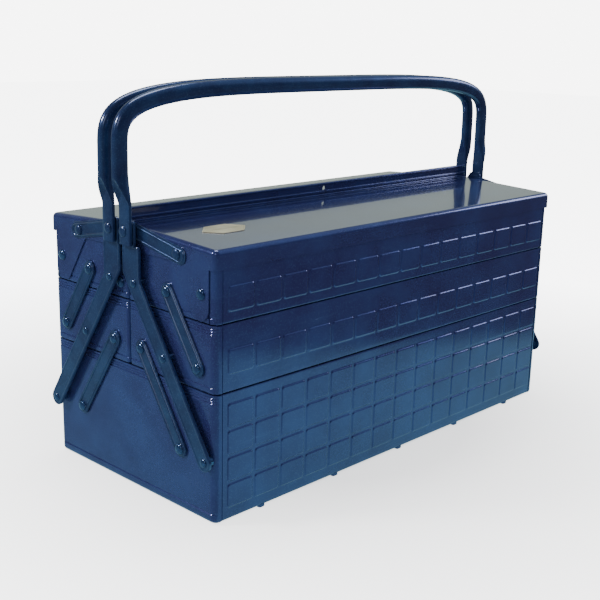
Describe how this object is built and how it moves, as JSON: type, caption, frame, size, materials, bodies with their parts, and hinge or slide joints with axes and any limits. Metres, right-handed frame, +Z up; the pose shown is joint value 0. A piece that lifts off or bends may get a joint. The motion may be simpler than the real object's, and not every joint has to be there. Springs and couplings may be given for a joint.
{
  "type": "cantilever toolbox with trays",
  "caption": "Pressed steel cantilever toolbox: a tub, two tiers of trays that swing out on arms and links, two lids and twin bail handles.",
  "frame": {"origin": "centre of the footprint, on the resting plane under the tub", "axes": "+X along the length, -Y to the front, +Z up"},
  "size_m": [0.5088, 0.2206, 0.3452],
  "materials": {
    "enamel": "glossy dark blue baked enamel with a fine mottle",
    "rivet": "the same enamel over domed rivets",
    "plate": "blank satin plate, pale gold"
  },
  "bodies": {
    "tub": {"tub": "enamel", "front_left_arm_tub_rivet": "rivet", "front_left_lower_link_tub_rivet": "rivet", "front_right_arm_tub_rivet": "rivet", "front_right_lower_link_tub_rivet": "rivet", "back_left_arm_tub_rivet": "rivet", "back_left_lower_link_tub_rivet": "rivet", "back_right_arm_tub_rivet": "rivet", "back_right_lower_link_tub_rivet": "rivet"},
    "front_arms": {"front_handle": "enamel", "front_left_arm": "enamel", "front_right_arm": "enamel"},
    "front_middle_tray": {"front_middle_tray": "enamel", "front_left_arm_middle_rivet": "rivet", "front_left_lower_link_middle_rivet": "rivet", "front_left_upper_link_middle_rivet": "rivet", "front_right_arm_middle_rivet": "rivet", "front_right_lower_link_middle_rivet": "rivet", "front_right_upper_link_middle_rivet": "rivet"},
    "front_top_tray": {"front_top_tray": "enamel", "front_left_arm_top_rivet": "rivet", "front_left_upper_link_top_rivet": "rivet", "front_left_lid_hinge_rivet": "rivet", "front_right_arm_top_rivet": "rivet", "front_right_upper_link_top_rivet": "rivet", "front_right_lid_hinge_rivet": "rivet"},
    "front_lower_links": {"front_left_lower_link": "enamel", "front_right_lower_link": "enamel"},
    "front_upper_links": {"front_left_upper_link": "enamel", "front_right_upper_link": "enamel"},
    "front_lid": {"front_lid": "enamel", "blank_plate": "plate"},
    "front_straps": {"front_left_strap": "enamel", "front_right_strap": "enamel"},
    "back_arms": {"back_handle": "enamel", "back_left_arm": "enamel", "back_right_arm": "enamel"},
    "back_middle_tray": {"back_middle_tray": "enamel", "back_left_arm_middle_rivet": "rivet", "back_left_lower_link_middle_rivet": "rivet", "back_left_upper_link_middle_rivet": "rivet", "back_right_arm_middle_rivet": "rivet", "back_right_lower_link_middle_rivet": "rivet", "back_right_upper_link_middle_rivet": "rivet"},
    "back_top_tray": {"back_top_tray": "enamel", "back_left_arm_top_rivet": "rivet", "back_left_upper_link_top_rivet": "rivet", "back_left_lid_hinge_rivet": "rivet", "back_right_arm_top_rivet": "rivet", "back_right_upper_link_top_rivet": "rivet", "back_right_lid_hinge_rivet": "rivet", "back_left_stud": "rivet"},
    "back_lower_links": {"back_left_lower_link": "enamel", "back_right_lower_link": "enamel"},
    "back_upper_links": {"back_left_upper_link": "enamel", "back_right_upper_link": "enamel"},
    "back_lid": {"back_lid": "enamel"},
    "back_straps": {"back_left_strap": "enamel", "back_right_strap": "enamel"}
  },
  "joints": [
    {"name": "front_arms_swing", "type": "hinge", "parent": "tub", "child": "front_arms", "pos_m": [0, -0.1025, 0.0555], "axis": [1, 0, 0], "range_deg": [0, 67]},
    {"name": "front_middle_tray_hinge", "type": "hinge", "parent": "front_arms", "child": "front_middle_tray", "pos_m": [0, -0.053, 0.1295], "axis": [1, 0, 0], "range_deg": [-67.5, 0]},
    {"name": "front_top_tray_hinge", "type": "hinge", "parent": "front_arms", "child": "front_top_tray", "pos_m": [0, -0.0162, 0.1845], "axis": [1, 0, 0], "range_deg": [-67.5, 0]},
    {"name": "front_lower_link_swing", "type": "hinge", "parent": "tub", "child": "front_lower_links", "pos_m": [0, -0.068, 0.0555], "axis": [1, 0, 0], "range_deg": [0, 67.5]},
    {"name": "front_upper_link_swing", "type": "hinge", "parent": "front_middle_tray", "child": "front_upper_links", "pos_m": [0, -0.0895, 0.129], "axis": [1, 0, 0], "range_deg": [0, 67.5]},
    {"name": "front_lid_hinge", "type": "hinge", "parent": "front_top_tray", "child": "front_lid", "pos_m": [0, -0.0935, 0.1895], "axis": [1, 0, 0], "range_deg": [0, 65.8]},
    {"name": "front_strap_swing", "type": "hinge", "parent": "front_arms", "child": "front_straps", "pos_m": [0, -0.01, 0.227], "axis": [1, 0, 0], "range_deg": [-98.5, 0]},
    {"name": "back_arms_swing", "type": "hinge", "parent": "tub", "child": "back_arms", "pos_m": [0, 0.1025, 0.0555], "axis": [-1, 0, 0], "range_deg": [0, 67]},
    {"name": "back_middle_tray_hinge", "type": "hinge", "parent": "back_arms", "child": "back_middle_tray", "pos_m": [0, 0.053, 0.1295], "axis": [-1, 0, 0], "range_deg": [-67.5, 0]},
    {"name": "back_top_tray_hinge", "type": "hinge", "parent": "back_arms", "child": "back_top_tray", "pos_m": [0, 0.0162, 0.1845], "axis": [-1, 0, 0], "range_deg": [-67.5, 0]},
    {"name": "back_lower_link_swing", "type": "hinge", "parent": "tub", "child": "back_lower_links", "pos_m": [0, 0.068, 0.0555], "axis": [-1, 0, 0], "range_deg": [0, 67.5]},
    {"name": "back_upper_link_swing", "type": "hinge", "parent": "back_middle_tray", "child": "back_upper_links", "pos_m": [0, 0.0895, 0.129], "axis": [-1, 0, 0], "range_deg": [0, 67.5]},
    {"name": "back_lid_hinge", "type": "hinge", "parent": "back_top_tray", "child": "back_lid", "pos_m": [0, 0.0935, 0.1895], "axis": [-1, 0, 0], "range_deg": [0, 65.8]},
    {"name": "back_strap_swing", "type": "hinge", "parent": "back_arms", "child": "back_straps", "pos_m": [0, 0.01, 0.227], "axis": [-1, 0, 0], "range_deg": [-98.5, 0]}
  ],
  "couplings": [
    {"joint": "front_middle_tray_hinge", "follows": "front_arms_swing", "ratio": -1},
    {"joint": "front_top_tray_hinge", "follows": "front_arms_swing", "ratio": -1},
    {"joint": "front_lower_link_swing", "follows": "front_arms_swing", "ratio": 1},
    {"joint": "front_upper_link_swing", "follows": "front_arms_swing", "ratio": 1},
    {"joint": "front_lid_hinge", "follows": "front_arms_swing", "ratio": 0.9745},
    {"joint": "front_strap_swing", "follows": "front_arms_swing", "ratio": -1.462},
    {"joint": "back_middle_tray_hinge", "follows": "back_arms_swing", "ratio": -1},
    {"joint": "back_top_tray_hinge", "follows": "back_arms_swing", "ratio": -1},
    {"joint": "back_lower_link_swing", "follows": "back_arms_swing", "ratio": 1},
    {"joint": "back_upper_link_swing", "follows": "back_arms_swing", "ratio": 1},
    {"joint": "back_lid_hinge", "follows": "back_arms_swing", "ratio": 0.9745},
    {"joint": "back_strap_swing", "follows": "back_arms_swing", "ratio": -1.462}
  ]
}
